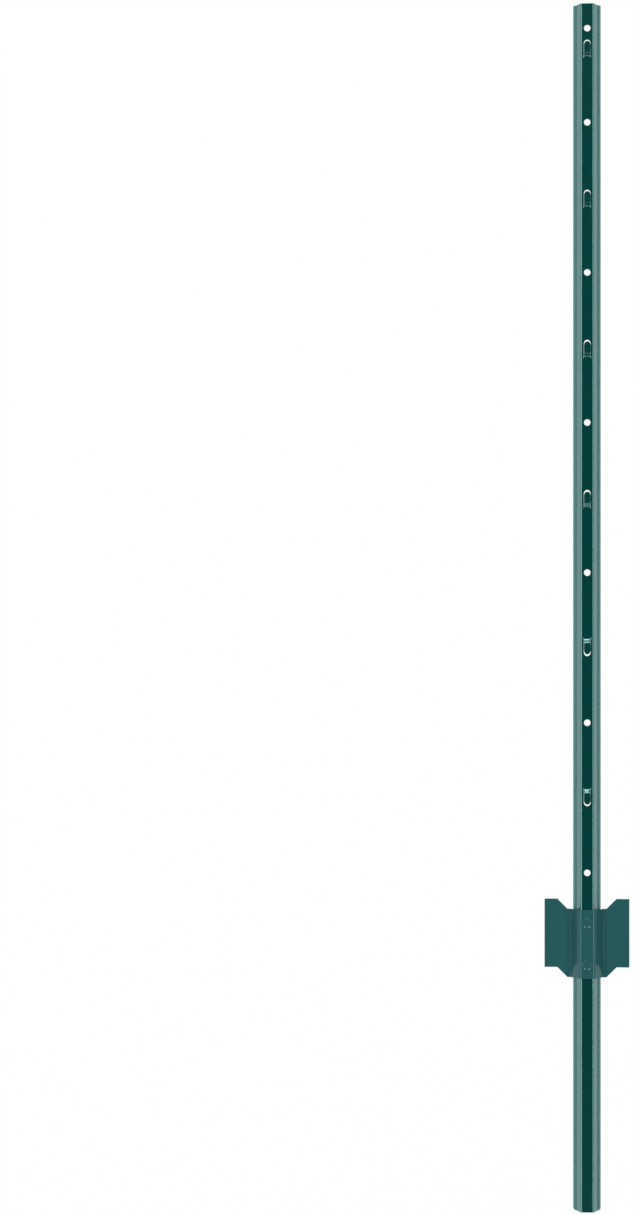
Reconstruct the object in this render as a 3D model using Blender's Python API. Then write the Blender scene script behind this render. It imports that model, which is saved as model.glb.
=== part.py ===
"""U-channel fence post with a folded anchor plate, lying on its lips with the web up.

Units are metres. +Y points to the top end of the post, +X across it and +Z out of the web. The origin
is below the middle of the post's length, on the surface that the lips and the plate's wings lie on.
"""
from math import acos, atan2, cos, floor, pi, radians, sin, tan

import bmesh
import bpy
from mathutils import Vector

# Channel: one strip of sheet with a flat web, two steep legs and two flared lips
POST_LENGTH = 1.2192
POST_WIDTH = 0.0277
POST_DEPTH = 0.013
POST_SHEET = 0.0015
WEB_WIDTH = 0.0118
LEG_LEAN = radians(25)
LIP_SLOPE = radians(12)
WEB_BEND_INSIDE = 0.0009
LIP_BEND_INSIDE = 0.0030
TOP_CORNER_RADIUS = 0.001
BOTTOM_CORNER_RADIUS = 0.003

# Round holes punched in the web, one near the top and then an even row
HOLE_DIAMETER = 0.0066
TOP_HOLE_FROM_TOP = 0.0251
WEB_PITCH = 0.15135
ROW_HOLE_BELOW_HOOK = 0.0741
CLEAR_OF_PLATE = 0.012

# Hooks lanced out of the web and joggled forward, the last ones turned end for end. Each has a root
# that spreads into two feet, and the bends above it bow towards the root.
HOOK_BELOW_TOP_HOLE = 0.0208
TURNED_HOOKS = 2
TURNED_HOOK_RISE = 0.0024
SLOT_LENGTH = 0.0186
SLOT_WIDTH = 0.0070
SLOT_ARCH = 0.0042
SIDE_SLIT = 0.0001
TIP_GAP = 0.0018
FOOT_FLARE = 0.0007
FOOT_LENGTH = 0.0022
ROOT_BOW = 0.0005
HOOK_RAISE = 0.003
JOGGLE_ANGLE = radians(40)
ROOT_BEND_INSIDE = 0.004
CREST_BEND_INSIDE = 0.0005

# Anchor plate: a stamped blank folded over the channel, its wings set higher than its centre
PLATE_SHEET = 0.0015
PLATE_WIDTH = 0.0855
PLATE_HEIGHT = 0.0692
PLATE_STEP = 0.0101
PLATE_FROM_BOTTOM = 0.2358
STEP_FROM_BEND = 0.0034
WING_BEND_INSIDE = 0.001
PLATE_CORNER_RADIUS = 0.0006
LIP_CLEARANCE = 0.0008

# Rivets through the plate and the web
RIVET_FROM_EDGE = 0.0134
SHANK_DIAMETER = 0.0048
HEAD_DIAMETER = 0.0105
HEAD_HEIGHT = 0.0012
TAIL_DIAMETER = 0.0076
TAIL_HEIGHT = 0.0013
RIVET_RIM = 0.0003

# Gap between pieces that touch, overlap of shapes that are joined, and how far a cutter runs past
SEAT_GAP = 0.0003
ROOT_OVERLAP = 0.0005
CUT_MARGIN = 0.002

# Corners closer than this are one, and faces that meet at more than this angle keep a sharp edge
SAME_POINT = 0.000001
SHARP_ANGLE = radians(25)

# Facets on each round form
WEB_BEND_FACETS = 8
LIP_BEND_FACETS = 12
WING_BEND_FACETS = 6
JOGGLE_FACETS = 6
BOW_FACETS = 11
FOOT_FACETS = 5
CORNER_FACETS = 6
HOLE_FACETS = 32
ARCH_FACETS = 16
RIVET_FACETS = 36
DOME_FACETS = 6

TOP_END = POST_LENGTH / 2
FOOT_EDGE = SLOT_WIDTH / 2 + FOOT_FLARE
PLATE_BOTTOM = PLATE_FROM_BOTTOM - POST_LENGTH / 2
PANEL_TOP = PLATE_BOTTOM + PLATE_HEIGHT


def clear_scene():
    for item in list(bpy.data.objects):
        bpy.data.objects.remove(item)


def paint(name, colour, roughness):
    made = bpy.data.materials.new(name)
    made.use_nodes = True
    shader = made.node_tree.nodes["Principled BSDF"]
    shader.inputs["Base Color"].default_value = (*colour, 1.0)
    shader.inputs["Roughness"].default_value = roughness
    shader.inputs["Metallic"].default_value = 0.0
    return made


def new_object(name, work):
    """Make an object with outward faces from a working mesh."""
    bmesh.ops.recalc_face_normals(work, faces=work.faces)
    mesh = bpy.data.meshes.new(name)
    work.to_mesh(mesh)
    work.free()
    made = bpy.data.objects.new(name, mesh)
    bpy.context.scene.collection.objects.link(made)
    return made


def boolean(target, other, operation):
    """Join, cut or trim the target with another shape, which is then taken away."""
    change = target.modifiers.new(other.name, "BOOLEAN")
    change.operation = operation
    change.solver = "EXACT"
    change.object = other
    with bpy.context.temp_override(object=target):
        bpy.ops.object.modifier_apply(modifier=change.name)
    bpy.data.objects.remove(other)


def finish(item, material):
    """Paint a finished piece. Its bends are shaded smooth, its flats flat and its cut edges sharp."""
    item.data.materials.clear()
    item.data.materials.append(material)
    item.data.shade_smooth()
    item.data.set_sharp_from_angle(angle=SHARP_ANGLE)
    weighted = item.modifiers.new("flat_flats", "WEIGHTED_NORMAL")
    weighted.keep_sharp = True


# Flat geometry, used for sections in X and Z and for outlines in X and Y

def crossing(point, direction, other, other_direction):
    """Where two lines cross."""
    gap = other - point
    across = direction.x * other_direction.y - direction.y * other_direction.x
    return point + direction * (gap.x * other_direction.y - gap.y * other_direction.x) / across


def arc(centre, radius, start, turned, facets):
    """Points on an arc from the angle start, turning by the angle turned, both ends included."""
    angles = [start + turned * i / facets for i in range(facets + 1)]
    return [centre + radius * Vector((cos(a), sin(a))) for a in angles]


def turn_at(before, corner, after):
    """Direction into a corner and the signed angle that the path turns there."""
    into = (corner - before).normalized()
    out = (after - corner).normalized()
    return into, atan2(into.x * out.y - into.y * out.x, into.dot(out))


def bend(before, corner, after, radius):
    """Centre, start angle and turned angle of an arc that rounds a corner of a path."""
    into, turned = turn_at(before, corner, after)
    side = 1 if turned > 0 else -1
    left = Vector((-into.y, into.x))
    centre = corner - into * radius * tan(abs(turned) / 2) + left * side * radius
    return centre, atan2(into.y, into.x) - side * pi / 2, turned


def fitting_radius(path, i, radius):
    """Middle radius of a bend, limited by the flats beside it."""
    _, turned = turn_at(path[i - 1], path[i], path[i + 1])
    before = (path[i] - path[i - 1]).length / (1 if i == 1 else 2)
    after = (path[i + 1] - path[i]).length / (1 if i == len(path) - 2 else 2)
    return min(radius, 0.98 * min(before, after) / tan(abs(turned) / 2))


def sheet_end(end, along, half):
    """The two corners of the sheet at an end of its middle line, left and right of its direction."""
    across = half * Vector((-along.y, along.x)).normalized()
    return [end + across], [end - across]


def sheet_section(path, bends, sheet):
    """Outline of a folded sheet, from its middle line with sharp corners.

    bends gives each corner's inside radius and its number of facets.
    """
    half = sheet / 2
    left_side, right_side = sheet_end(path[0], path[1] - path[0], half)
    for i, (inside, facets) in enumerate(bends, start=1):
        radius = fitting_radius(path, i, inside + half)
        centre, start, turned = bend(path[i - 1], path[i], path[i + 1], radius)
        side = 1 if turned > 0 else -1
        left_side += arc(centre, radius - side * half, start, turned, facets)
        right_side += arc(centre, radius + side * half, start, turned, facets)
    last_left, last_right = sheet_end(path[-1], path[-1] - path[-2], half)
    return left_side + last_left + last_right + right_side[::-1]


def mirrored(right_half):
    return [Vector((-point.x, point.y)) for point in reversed(right_half)] + right_half


def rounded_outline(corners, radius):
    """Closed outline with each corner rounded."""
    points = []
    for i, corner in enumerate(corners):
        after = corners[(i + 1) % len(corners)]
        centre, start, turned = bend(corners[i - 1], corner, after, radius)
        points += arc(centre, radius, start, turned, CORNER_FACETS)
    return points


def circle(y, diameter):
    return arc(Vector((0, y)), diameter / 2, 0, 2 * pi, HOLE_FACETS)[:-1]


# Solids drawn from flat outlines

def add_prism(work, ring, *shifts):
    """Fill a ring of points with a face and draw it out, shift by shift, into a closed bar."""
    end = work.faces.new([work.verts.new(point) for point in ring])
    for i, shift in enumerate(shifts):
        drawn = bmesh.ops.extrude_face_region(work, geom=[end])["geom"]
        corners = [part for part in drawn if isinstance(part, bmesh.types.BMVert)]
        bmesh.ops.translate(work, verts=corners, vec=shift)
        if i > 0:
            work.faces.remove(end)
        end = next(part for part in drawn if isinstance(part, bmesh.types.BMFace))


def guide(name, work):
    """An object that only cuts or trims another one."""
    made = new_object(name, work)
    made.hide_render = True
    made.display_type = "WIRE"
    return made


def section_bar(name, section, low_y, high_y):
    work = bmesh.new()
    add_prism(work, [Vector((p.x, low_y, p.y)) for p in section], Vector((0, high_y - low_y, 0)))
    return new_object(name, work)


def plan_prisms(name, outlines):
    """Upright prisms through the whole depth of the post, one for each outline."""
    low_z = -CUT_MARGIN
    high_z = POST_DEPTH + HOOK_RAISE + PLATE_SHEET + CUT_MARGIN
    work = bmesh.new()
    for outline in outlines:
        add_prism(work, [Vector((p.x, p.y, low_z)) for p in outline], Vector((0, 0, high_z - low_z)))
    return guide(name, work)


# Channel

def post_path():
    """Middle line of the channel's sheet, from the left lip's edge to the right one's."""
    half = POST_SHEET / 2
    web = Vector((WEB_WIDTH / 2, POST_DEPTH - half))
    lip = Vector((POST_WIDTH / 2 - half * sin(LIP_SLOPE), half * cos(LIP_SLOPE)))
    leg_down = Vector((sin(LEG_LEAN), -cos(LEG_LEAN)))
    lip_out = Vector((cos(LIP_SLOPE), -sin(LIP_SLOPE)))
    knee = crossing(web, leg_down, lip, lip_out)
    return mirrored([web, knee, lip])


def hook_places():
    """Root and direction of each hook: 1 points to the top of the post, -1 is turned."""
    first = TOP_END - TOP_HOLE_FROM_TOP - HOOK_BELOW_TOP_HOLE
    room = first - SLOT_LENGTH / 2 - CLEAR_OF_PLATE - PANEL_TOP
    count = floor(room / WEB_PITCH) + 1
    upright = max(count - TURNED_HOOKS, 0)
    places = []
    for i in range(count):
        direction = 1 if i < upright else -1
        middle = first - WEB_PITCH * i + (0.0 if direction == 1 else TURNED_HOOK_RISE)
        places.append((middle - direction * SLOT_LENGTH / 2, direction))
    return places


def hole_places():
    top = TOP_END - TOP_HOLE_FROM_TOP
    first = top - HOOK_BELOW_TOP_HOLE - ROW_HOLE_BELOW_HOOK
    room = first - HOLE_DIAMETER / 2 - CLEAR_OF_PLATE - PANEL_TOP
    return [top] + [first - WEB_PITCH * i for i in range(floor(room / WEB_PITCH) + 1)]


def hook_outline(root, direction, slit=0.0, tip_gap=0.0, before_root=0.0):
    """Flared feet at the root, straight sides and an arched tip.

    With no slit and no tip gap it is the slot's outline. The tongue's lies inside it by the slit, ends
    short of it by the tip gap and reaches back past the root.
    """
    outer = FOOT_EDGE - slit
    foot_top = 2 * SIDE_SLIT - slit + FOOT_LENGTH
    quarter = arc(Vector((0, 0)), 1, -pi / 2, -pi / 2, FOOT_FACETS)
    foot = [Vector((outer + FOOT_FLARE * p.x, foot_top + FOOT_LENGTH * p.y)) for p in quarter]
    half_width = SLOT_WIDTH / 2 - slit
    arch = SLOT_ARCH - slit
    arch_start = SLOT_LENGTH - tip_gap - arch
    half_turn = arc(Vector((0, 0)), 1, 0, pi, ARCH_FACETS)
    tip = [Vector((half_width * p.x, arch_start + arch * p.y)) for p in half_turn]
    right_side = [Vector((outer, -before_root))] + foot
    left_side = [Vector((-p.x, p.y)) for p in reversed(right_side)]
    return [Vector((p.x, root + direction * p.y)) for p in right_side + tip + left_side]


def corner_offcut(side, end, radius):
    """What is cut away outside a rounded corner of a lip."""
    edge = Vector((side * POST_WIDTH / 2, end * TOP_END))
    centre = edge - radius * Vector((side, end))
    quarter = arc(Vector((0, 0)), radius, 0, pi / 2, CORNER_FACETS)
    outside = edge + CUT_MARGIN * Vector((side, end))
    rounded = [centre + Vector((side * p.x, end * p.y)) for p in quarter]
    return rounded + [Vector((centre.x, outside.y)), outside, Vector((outside.x, centre.y))]


def joggle_section():
    """Side view of a hook's sheet, folded up at the root and level again at the crest."""
    web_middle = POST_DEPTH - POST_SHEET / 2
    root_bend = (ROOT_BEND_INSIDE + POST_SHEET / 2) * tan(JOGGLE_ANGLE / 2)
    crest = root_bend + HOOK_RAISE / tan(JOGGLE_ANGLE)
    path = [
        Vector((-ROOT_OVERLAP - ROOT_BOW, web_middle)),
        Vector((root_bend, web_middle)),
        Vector((crest, web_middle + HOOK_RAISE)),
        Vector((SLOT_LENGTH, web_middle + HOOK_RAISE)),
    ]
    bends = [(ROOT_BEND_INSIDE, JOGGLE_FACETS), (CREST_BEND_INSIDE, JOGGLE_FACETS)]
    return sheet_section(path, bends, POST_SHEET)


def add_strip(work, section, root, direction):
    """A folded strip across a hook, its bends closest to the root in the middle."""
    half_width = FOOT_EDGE + CUT_MARGIN
    stations = [half_width * (2 * i / BOW_FACETS - 1) for i in range(BOW_FACETS + 1)]
    line = [Vector((x, direction * ROOT_BOW * (x / FOOT_EDGE) ** 2, 0)) for x in stations]
    start = line[0] + Vector((0, root, 0))
    ring = [start + Vector((0, direction * p.x, p.y)) for p in section]
    add_prism(work, ring, *[after - before for before, after in zip(line, line[1:])])


def hooks():
    """Joggled tongues: a folded strip for each hook, trimmed to the tongue's outline."""
    section = joggle_section()
    strips = bmesh.new()
    for place in hook_places():
        add_strip(strips, section, *place)
    tongues = guide("hook_tongues", strips)
    past_root = ROOT_OVERLAP + ROOT_BOW + CUT_MARGIN
    outlines = [hook_outline(*place, SIDE_SLIT, TIP_GAP, past_root) for place in hook_places()]
    boolean(tongues, plan_prisms("hook_outlines", outlines), "INTERSECT")
    return tongues


def rivet_places():
    return {
        "rivet_upper": PANEL_TOP - RIVET_FROM_EDGE,
        "rivet_lower": PLATE_BOTTOM + RIVET_FROM_EDGE,
    }


def build_post(material):
    bends = [(LIP_BEND_INSIDE, LIP_BEND_FACETS), (WEB_BEND_INSIDE, WEB_BEND_FACETS)]
    section = sheet_section(post_path(), bends + bends[::-1], POST_SHEET)
    post = section_bar("u_channel_post", section, -TOP_END, TOP_END)
    cuts = [circle(y, HOLE_DIAMETER) for y in hole_places()]
    cuts += [circle(y, SHANK_DIAMETER + 2 * SEAT_GAP) for y in rivet_places().values()]
    cuts += [hook_outline(*place) for place in hook_places()]
    for side in (-1, 1):
        cuts.append(corner_offcut(side, 1, TOP_CORNER_RADIUS))
        cuts.append(corner_offcut(side, -1, BOTTOM_CORNER_RADIUS))
    boolean(post, plan_prisms("post_cuts", cuts), "DIFFERENCE")
    boolean(post, hooks(), "UNION")
    finish(post, material)


# Anchor plate

def plate_path():
    """Middle line of the plate's sheet, one half mirrored.

    The panel lies on the web. Each wall is the line that touches two circles from outside: one round
    the channel's bend, and one that keeps the wall clear of the lip's edge.
    """
    half = PLATE_SHEET / 2
    post = post_path()
    bend_middle, _, _ = bend(*post[2:5], WEB_BEND_INSIDE + POST_SHEET / 2)
    lip_corner = post[-1] + POST_SHEET / 2 * Vector((sin(LIP_SLOPE), cos(LIP_SLOPE)))
    round_bend = panel_bend_inside() + half
    past_lip = LIP_CLEARANCE + half
    reach = lip_corner - bend_middle
    facing = atan2(reach.y, reach.x) + acos((round_bend - past_lip) / reach.length)
    wall = bend_middle + round_bend * Vector((cos(facing), sin(facing)))
    wall_down = Vector((sin(facing), -cos(facing)))
    level = Vector((1, 0))
    panel = crossing(wall, wall_down, Vector((0, POST_DEPTH + SEAT_GAP + half)), level)
    wing = crossing(wall, wall_down, Vector((0, half)), level)
    return mirrored([panel, wing, Vector((PLATE_WIDTH / 2 + CUT_MARGIN, half))])


def panel_bend_inside():
    """The plate's upper bends wrap the channel's bends with an even gap."""
    return WEB_BEND_INSIDE + POST_SHEET + SEAT_GAP


def blank_outline(wing_bend_x):
    """Stamped blank seen from above: the wings are stepped up along slanting edges."""
    step_inner = wing_bend_x + STEP_FROM_BEND
    step_outer = step_inner + PLATE_STEP
    edge = PLATE_WIDTH / 2
    upper = mirrored([
        Vector((step_inner, PANEL_TOP)),
        Vector((step_outer, PANEL_TOP + PLATE_STEP)),
        Vector((edge, PANEL_TOP + PLATE_STEP)),
    ])
    lower = [point - Vector((0, PLATE_HEIGHT)) for point in reversed(upper)]
    return rounded_outline(upper + lower, PLATE_CORNER_RADIUS)


def build_plate(material):
    path = plate_path()
    bends = [(WING_BEND_INSIDE, WING_BEND_FACETS), (panel_bend_inside(), WEB_BEND_FACETS)]
    section = sheet_section(path, bends + bends[::-1], PLATE_SHEET)
    low_y = PLATE_BOTTOM - CUT_MARGIN
    high_y = PANEL_TOP + PLATE_STEP + CUT_MARGIN
    plate = section_bar("anchor_plate", section, low_y, high_y)
    boolean(plate, plan_prisms("plate_blank", [blank_outline(path[4].x)]), "INTERSECT")
    holes = [circle(y, SHANK_DIAMETER + 2 * SEAT_GAP) for y in rivet_places().values()]
    boolean(plate, plan_prisms("plate_holes", holes), "DIFFERENCE")
    finish(plate, material)


# Rivets

def dome(diameter, height, seat, direction):
    """Profile of a rivet's end: a short rim and a flattened dome, from the seat to the crown."""
    angles = [pi / 2 * i / DOME_FACETS for i in range(DOME_FACETS + 1)]
    rise = height - RIVET_RIM
    points = [Vector((diameter / 2, seat))]
    for a in angles:
        points.append(Vector((diameter / 2 * cos(a), seat + direction * (RIVET_RIM + rise * sin(a)))))
    points[-1].x = 0.0
    return points


def build_rivet(name, y, material):
    head_seat = POST_DEPTH + SEAT_GAP + PLATE_SHEET + SEAT_GAP
    tail_seat = POST_DEPTH - POST_SHEET - SEAT_GAP
    head = dome(HEAD_DIAMETER, HEAD_HEIGHT, head_seat, 1)
    tail = dome(TAIL_DIAMETER, TAIL_HEIGHT, tail_seat, -1)
    shank = [Vector((SHANK_DIAMETER / 2, head_seat)), Vector((SHANK_DIAMETER / 2, tail_seat))]
    profile = head[::-1] + shank + tail
    work = bmesh.new()
    verts = [work.verts.new((point.x, y, point.y)) for point in profile]
    edges = [work.edges.new(pair) for pair in zip(verts, verts[1:])]
    bmesh.ops.spin(
        work,
        geom=verts + edges,
        cent=(0, y, 0),
        axis=(0, 0, 1),
        angle=2 * pi,
        steps=RIVET_FACETS,
        use_merge=True,
    )
    bmesh.ops.remove_doubles(work, verts=work.verts, dist=SAME_POINT)
    finish(new_object(name, work), material)


def main():
    clear_scene()
    post_paint = paint("post_green", (0.004, 0.070, 0.058), 0.30)
    plate_paint = paint("plate_green", (0.018, 0.105, 0.105), 0.40)
    rivet_paint = paint("rivet_green", (0.018, 0.105, 0.105), 0.40)
    build_post(post_paint)
    build_plate(plate_paint)
    for name, y in rivet_places().items():
        build_rivet(name, y, rivet_paint)


main()
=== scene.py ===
"""Looks of the u-channel fence post: eased steel edges, baked green paint, studio light and camera.

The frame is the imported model: the post lies on its lips and on the plate's wings, with the web up and
+Y to its top end. Units are metres. Each piece keeps the form and place of the solid that it stands for.
"""
from math import atan, cos, pi, radians, tan

import bpy
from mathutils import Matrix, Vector


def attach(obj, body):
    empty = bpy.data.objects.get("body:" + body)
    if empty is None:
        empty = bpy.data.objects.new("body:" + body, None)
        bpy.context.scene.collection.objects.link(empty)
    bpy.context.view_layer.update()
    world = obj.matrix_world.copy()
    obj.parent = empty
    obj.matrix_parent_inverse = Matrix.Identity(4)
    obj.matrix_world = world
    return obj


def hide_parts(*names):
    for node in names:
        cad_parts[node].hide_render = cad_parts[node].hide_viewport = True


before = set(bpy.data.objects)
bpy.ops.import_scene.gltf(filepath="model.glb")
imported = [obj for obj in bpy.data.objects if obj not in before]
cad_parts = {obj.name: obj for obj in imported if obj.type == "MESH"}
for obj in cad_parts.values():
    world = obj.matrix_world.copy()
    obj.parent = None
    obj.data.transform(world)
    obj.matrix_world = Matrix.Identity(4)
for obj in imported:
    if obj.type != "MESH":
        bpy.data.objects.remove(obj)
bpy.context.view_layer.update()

# Camera: high above the post, a little to its left, and panned so that the post stands at the right.
# The post's centre is given in pixels, and a pixel is as wide as this on the web's front
IMAGE_WIDTH = 640
IMAGE_HEIGHT = 1215
POST_CENTRE_X = 587.25
POST_CENTRE_Y = 607.9
PIXEL = 0.00100806
WEB_TOP = 0.013
CAMERA_ABOVE_WEB = 2.8
CAMERA_ASIDE = 0.08
SENSOR = 36.0
CLIP_START = 0.01
CLIP_END = 60.0
CENTRING_TURNS = 8

# Steel
MERGE = 0.000001
FLAT_WITHIN = radians(0.5)
SHARP_FROM = radians(28)
EASED_EDGE = 0.0002
EDGE_SEGMENTS = 3
FLAT_WEIGHT = 90

# Paint: how fine its drift of colour, its patches of gloss and its orange peel are, and the peel's depth
DRIFT_SCALE = 14.0
PATCH_SCALE = 90.0
PEEL_SCALE = 650.0
PEEL_STRENGTH = 0.5
PEEL_DEPTH = 0.00002

# Handling dulls the channel from the legs' middles out to the lips: distances from the post's middle
# plane where that starts and where it is full
RUBBED_FROM = 0.0098
RUBBED_FULLY = 0.0112

# The colour sockets of a mix node
MIX_FIRST = 6
MIX_SECOND = 7
MIX_COLOUR = 2

# Studio: a round white floor whose edge sweeps up into a wall
STUDIO_RADIUS = 12.0
STUDIO_HEIGHT = 3.0
STUDIO_SIDES = 128
STUDIO_SMOOTH = radians(20)
SWEEP_RADIUS = 2.0
SWEEP_SEGMENTS = 12
FLOOR_DROP = 0.0002
FLOOR_WHITE = (0.9, 0.9, 0.9, 1.0)
PURE_WHITE = (1.0, 1.0, 1.0, 1.0)
BACKGROUND_SHARE = 0.95
SKY = 0.01

# The end faces of an upright drum are those whose normals rise or fall by more than this
END_FACE = 0.5

# Soft boxes: side, distance, lowest and highest angle, length and brightness, as lamp() says
SOFT_BOXES = {
    "left_strip": (180, 2.4, 40, 51, 2.4, 6.5),
    "right_strip": (0, 2.4, 40, 51, 2.4, 5.5),
    "top_end_sheet": (90, 3.0, 16, 50, 0.7, 5.0),
    "foot_sheet": (-90, 3.0, 30, 50, 0.5, 1.6),
}
KEY_SIDES = (66, 114, -114, -66)
KEY_BOX = (3.0, 36, 60, 0.7, 5.2)


def select_only(item):
    """Select one object and make it the active one."""
    bpy.ops.object.select_all(action="DESELECT")
    item.select_set(True)
    bpy.context.view_layer.objects.active = item


# Materials

def node(material, kind, place, **inputs):
    """Add a shader node and set its inputs by name."""
    made = material.node_tree.nodes.new(kind)
    made.location = place
    for name, value in inputs.items():
        made.inputs[name.replace("_", " ")].default_value = value
    return made


def maths(material, operation, place):
    """Add a maths node."""
    made = node(material, "ShaderNodeMath", place)
    made.operation = operation
    return made


def add_drift(material, place, deep, light):
    """Let the paint's colour change slowly between a deep and a light tone."""
    link = material.node_tree.links.new
    drift = node(material, "ShaderNodeTexNoise", (-900, 300), Scale=DRIFT_SCALE, Detail=2.0)
    colour = node(material, "ShaderNodeMix", (-500, 300))
    colour.data_type = "RGBA"
    colour.inputs[MIX_FIRST].default_value = (*deep, 1.0)
    colour.inputs[MIX_SECOND].default_value = (*light, 1.0)
    link(place.outputs["Object"], drift.inputs["Vector"])
    link(drift.outputs["Fac"], colour.inputs[0])
    link(colour.outputs[MIX_COLOUR], material.node_tree.nodes["Principled BSDF"].inputs["Base Color"])


def add_gloss(material, place, gloss, haze, rubbed_by):
    """Let the roughness change in patches by haze around gloss, and add rubbed_by to it at the lips."""
    link = material.node_tree.links.new
    patches = node(material, "ShaderNodeTexNoise", (-900, 0), Scale=PATCH_SCALE, Detail=4.0)
    roughness = node(material, "ShaderNodeMapRange", (-500, 0), To_Min=gloss - haze, To_Max=gloss + haze)
    apart = node(material, "ShaderNodeSeparateXYZ", (-900, -100))
    aside = maths(material, "ABSOLUTE", (-700, -100))
    reach = {"From_Min": RUBBED_FROM, "From_Max": RUBBED_FULLY}
    rubbed = node(material, "ShaderNodeMapRange", (-500, -150), To_Max=rubbed_by, **reach)
    dulled = maths(material, "ADD", (-250, -50))
    link(place.outputs["Object"], patches.inputs["Vector"])
    link(patches.outputs["Fac"], roughness.inputs["Value"])
    link(place.outputs["Object"], apart.inputs[0])
    link(apart.outputs["X"], aside.inputs[0])
    link(aside.outputs[0], rubbed.inputs["Value"])
    link(roughness.outputs["Result"], dulled.inputs[0])
    link(rubbed.outputs["Result"], dulled.inputs[1])
    link(dulled.outputs[0], material.node_tree.nodes["Principled BSDF"].inputs["Roughness"])


def add_peel(material, place):
    """Give the paint its fine orange peel."""
    link = material.node_tree.links.new
    peel = node(material, "ShaderNodeTexNoise", (-900, -300), Scale=PEEL_SCALE, Detail=2.0)
    bump = node(material, "ShaderNodeBump", (-300, -300), Strength=PEEL_STRENGTH, Distance=PEEL_DEPTH)
    link(place.outputs["Object"], peel.inputs["Vector"])
    link(peel.outputs["Fac"], bump.inputs["Height"])
    link(bump.outputs["Normal"], material.node_tree.nodes["Principled BSDF"].inputs["Normal"])


def baked_paint(name, deep, light, gloss, haze, shine, level, tint, rubbed_by):
    """Green paint baked on steel, between a deep and a light tone.

    Gloss, haze and rubbed_by are roughnesses. Shine is the index of refraction, and level and tint are
    those of the mirrored light.
    """
    material = bpy.data.materials.new(name)
    material.use_nodes = True
    shader = material.node_tree.nodes["Principled BSDF"]
    shader.inputs["Metallic"].default_value = 0.0
    shader.inputs["IOR"].default_value = shine
    shader.inputs["Specular IOR Level"].default_value = level
    shader.inputs["Specular Tint"].default_value = (*tint, 1.0)
    place = node(material, "ShaderNodeTexCoord", (-1200, 0))
    add_drift(material, place, deep, light)
    add_gloss(material, place, gloss, haze, rubbed_by)
    add_peel(material, place)
    return material


def white_surface(name):
    """Floor and wall: they take shadows, and show a background of plain white."""
    material = bpy.data.materials.new(name)
    material.use_nodes = True
    nodes = material.node_tree.nodes
    link = material.node_tree.links.new
    nodes.remove(nodes["Principled BSDF"])
    matt = node(material, "ShaderNodeBsdfDiffuse", (-300, 100), Color=FLOOR_WHITE)
    plain = node(material, "ShaderNodeEmission", (-300, -100), Color=PURE_WHITE, Strength=1.0)
    path = node(material, "ShaderNodeLightPath", (-1100, 300))
    seen = path.outputs["Is Camera Ray"]
    for i, kind in enumerate(("Is Glossy Ray", "Is Transmission Ray")):
        add = maths(material, "ADD", (-720 + 180 * i, 300))
        add.use_clamp = True
        link(seen, add.inputs[0])
        link(path.outputs[kind], add.inputs[1])
        seen = add.outputs[0]
    share = maths(material, "MULTIPLY", (-300, 300))
    share.inputs[1].default_value = BACKGROUND_SHARE
    mix = node(material, "ShaderNodeMixShader", (0, 0))
    link(seen, share.inputs[0])
    link(share.outputs[0], mix.inputs[0])
    link(matt.outputs[0], mix.inputs[1])
    link(plain.outputs[0], mix.inputs[2])
    link(mix.outputs[0], nodes["Material Output"].inputs["Surface"])
    return material


# Pieces

def merged_copy(source, name):
    """A copy of a solid's mesh, its loose triangles merged into whole faces."""
    piece = bpy.data.objects.new(name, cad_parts[source].data.copy())
    piece.data.name = name
    piece.data.materials.clear()
    bpy.context.scene.collection.objects.link(piece)
    select_only(piece)
    bpy.ops.mesh.customdata_custom_splitnormals_clear()
    bpy.ops.object.mode_set(mode="EDIT")
    bpy.ops.mesh.select_mode(type="EDGE")
    bpy.ops.mesh.select_all(action="SELECT")
    bpy.ops.mesh.remove_doubles(threshold=MERGE)
    bpy.ops.mesh.dissolve_limited(angle_limit=FLAT_WITHIN)
    bpy.ops.object.mode_set(mode="OBJECT")
    return piece


def ease_edges(piece):
    """Round the sharp edges as shearing and paint leave them."""
    select_only(piece)
    bpy.ops.object.mode_set(mode="EDIT")
    bpy.ops.mesh.select_all(action="DESELECT")
    bpy.ops.mesh.edges_select_sharp(sharpness=SHARP_FROM)
    bpy.ops.mesh.bevel(offset=EASED_EDGE, segments=EDGE_SEGMENTS, profile=0.5, clamp_overlap=False)
    bpy.ops.object.mode_set(mode="OBJECT")
    bpy.ops.object.shade_smooth()


def shade_flats(piece):
    """Shade the bends smooth and the flats flat."""
    select_only(piece)
    weighted = piece.modifiers.new("flat_flats", "WEIGHTED_NORMAL")
    weighted.weight = FLAT_WEIGHT
    bpy.ops.object.modifier_apply(modifier=weighted.name)


def finish_piece(piece, source, material):
    """Paint a piece, hang it on the root body and hide the solid that it stands for."""
    piece.data.materials.append(material)
    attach(piece, "root")
    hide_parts(source)


def make_pieces():
    """Dress the channel in a deep glossy green, and the plate and the rivets in a paler, duller one."""
    post_paint = baked_paint(
        "post_paint_look",
        (0.0004, 0.046, 0.041),
        (0.0008, 0.054, 0.048),
        gloss=0.12,
        haze=0.02,
        shine=1.9,
        level=1.0,
        tint=(0.50, 1.0, 0.97),
        rubbed_by=0.35,
    )
    plate_paint = baked_paint(
        "plate_paint_look",
        (0.018, 0.091, 0.096),
        (0.022, 0.103, 0.108),
        gloss=0.14,
        haze=0.03,
        shine=1.5,
        level=0.5,
        tint=(0.58, 1.0, 0.97),
        rubbed_by=0.0,
    )
    for source, name, slot, material in (
        ("u_channel_post", "post_channel", "post_paint", post_paint),
        ("anchor_plate", "ground_plate", "plate_paint", plate_paint),
        ("rivet_upper", "rivet_near_top", "rivet_paint", plate_paint),
        ("rivet_lower", "rivet_near_point", "rivet_paint", plate_paint),
    ):
        piece = merged_copy(source, name)
        ease_edges(piece)
        shade_flats(piece)
        finish_piece(piece, source, material)


# Studio

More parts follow.
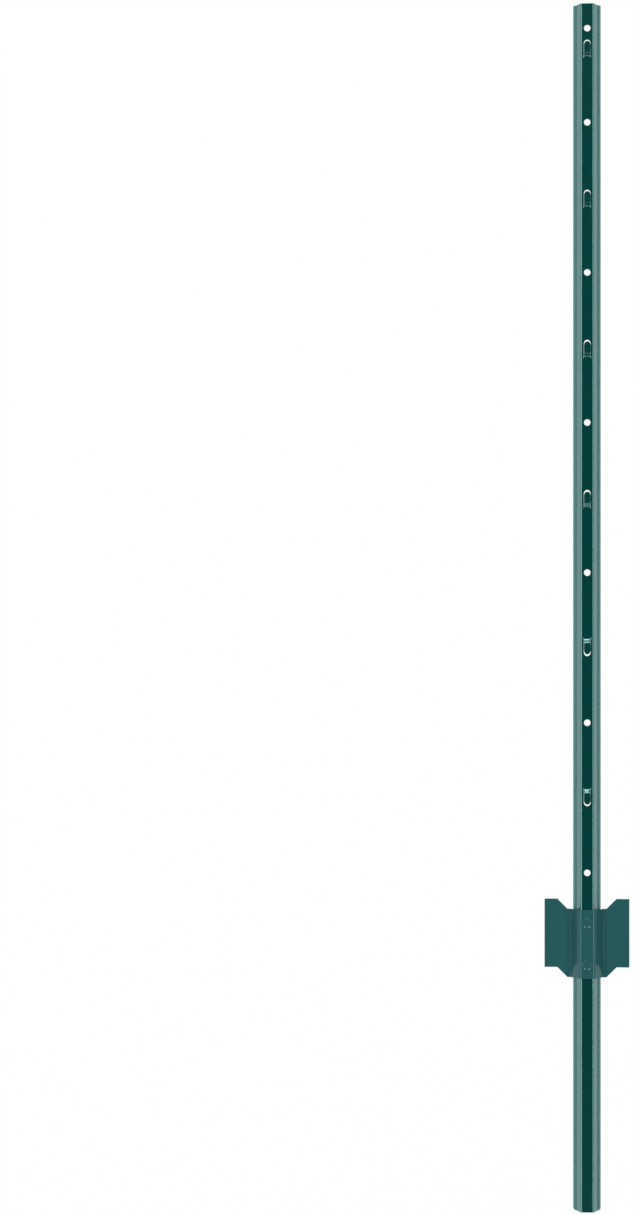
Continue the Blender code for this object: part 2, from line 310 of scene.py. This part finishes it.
def select_faces(item, up):
    """Select the faces that look up (1) or down (-1), and leave the object in edit mode."""
    bpy.ops.object.mode_set(mode="EDIT")
    bpy.ops.mesh.select_mode(type="FACE")
    bpy.ops.mesh.select_all(action="DESELECT")
    bpy.ops.object.mode_set(mode="OBJECT")
    for face in item.data.polygons:
        face.select = up * face.normal.z > END_FACE
    bpy.ops.object.mode_set(mode="EDIT")


def make_studio():
    """A flat round floor that sweeps up into a low wall, open above."""
    bpy.ops.object.select_all(action="DESELECT")
    bpy.ops.mesh.primitive_cylinder_add(
        vertices=STUDIO_SIDES,
        radius=STUDIO_RADIUS,
        depth=STUDIO_HEIGHT,
        end_fill_type="NGON",
        location=(0, 0, STUDIO_HEIGHT / 2 - FLOOR_DROP),
    )
    studio = bpy.context.active_object
    studio.name = "studio_floor"
    bpy.ops.object.transform_apply(location=True, rotation=True, scale=True)
    select_faces(studio, 1)
    bpy.ops.mesh.delete(type="FACE")
    bpy.ops.object.mode_set(mode="OBJECT")
    select_faces(studio, -1)
    bpy.ops.mesh.region_to_loop()
    bpy.ops.mesh.bevel(offset=SWEEP_RADIUS, segments=SWEEP_SEGMENTS, profile=0.5)
    bpy.ops.mesh.select_all(action="SELECT")
    bpy.ops.mesh.flip_normals()
    bpy.ops.object.mode_set(mode="OBJECT")
    bpy.ops.object.shade_smooth_by_angle(angle=STUDIO_SMOOTH)
    studio.data.materials.append(white_surface("studio_white"))


def lamp(name, azimuth, distance, low, high, length, brightness):
    """A soft box that faces the post. Its brightness is that of its front, where 1 is white.

    It covers the heights from low to high, given as angles above the floor. The azimuth is the side
    that it stands on, with 0 at +X and 90 at the top end of the post.
    """
    middle = radians((low + high) / 2)
    side = Vector((cos(radians(azimuth)), cos(radians(90 - azimuth)), 0.0))
    place = distance * (cos(middle) * side + cos(pi / 2 - middle) * Vector((0, 0, 1)))
    light = bpy.data.lights.new(name, "AREA")
    light.shape = "RECTANGLE"
    light.size = length
    light.size_y = 2 * distance * tan(radians((high - low) / 2))
    light.energy = brightness * pi * light.size * light.size_y
    box = bpy.data.objects.new(name, light)
    bpy.context.scene.collection.objects.link(box)
    box.location = place
    box.rotation_euler = (-place).to_track_quat("-Z", "Y").to_euler()
    box.visible_camera = False


def make_light():
    """A strip along each side, a sheet past each end, a key at each corner and a dim room."""
    for name, sizes in SOFT_BOXES.items():
        lamp(name, *sizes)
    for i, azimuth in enumerate(KEY_SIDES):
        lamp(f"key_{i}", azimuth, *KEY_BOX)
    world = bpy.data.worlds.new("dim_room")
    world.use_nodes = True
    sky = world.node_tree.nodes["Background"]
    sky.inputs["Color"].default_value = PURE_WHITE
    sky.inputs["Strength"].default_value = SKY
    bpy.context.scene.world = world


def make_camera():
    """Looks down at the post's web, panned to the left so that the post isn't in the middle.

    The lens depends on the pan and the pan on the lens, so both are worked out in turns.
    """
    from_plumb = atan(CAMERA_ASIDE / CAMERA_ABOVE_WEB)
    off_axis = 0.0
    for _ in range(CENTRING_TURNS):
        focal_pixels = CAMERA_ABOVE_WEB * cos(off_axis) / (PIXEL * cos(from_plumb))
        off_axis = atan((POST_CENTRE_X - IMAGE_WIDTH / 2) / focal_pixels)
    data = bpy.data.cameras.new("camera")
    data.sensor_fit = "AUTO"
    data.sensor_width = SENSOR
    data.lens = SENSOR * focal_pixels / IMAGE_HEIGHT
    data.clip_start = CLIP_START
    data.clip_end = CLIP_END
    camera = bpy.data.objects.new("camera", data)
    bpy.context.scene.collection.objects.link(camera)
    along = (POST_CENTRE_Y - IMAGE_HEIGHT / 2) * PIXEL
    camera.location = (-CAMERA_ASIDE, along, WEB_TOP + CAMERA_ABOVE_WEB)
    camera.rotation_euler = (0.0, off_axis - from_plumb, 0.0)
    bpy.context.scene.camera = camera


make_camera()
make_pieces()
make_studio()
make_light()
bpy.context.scene.view_settings.view_transform = "Standard"
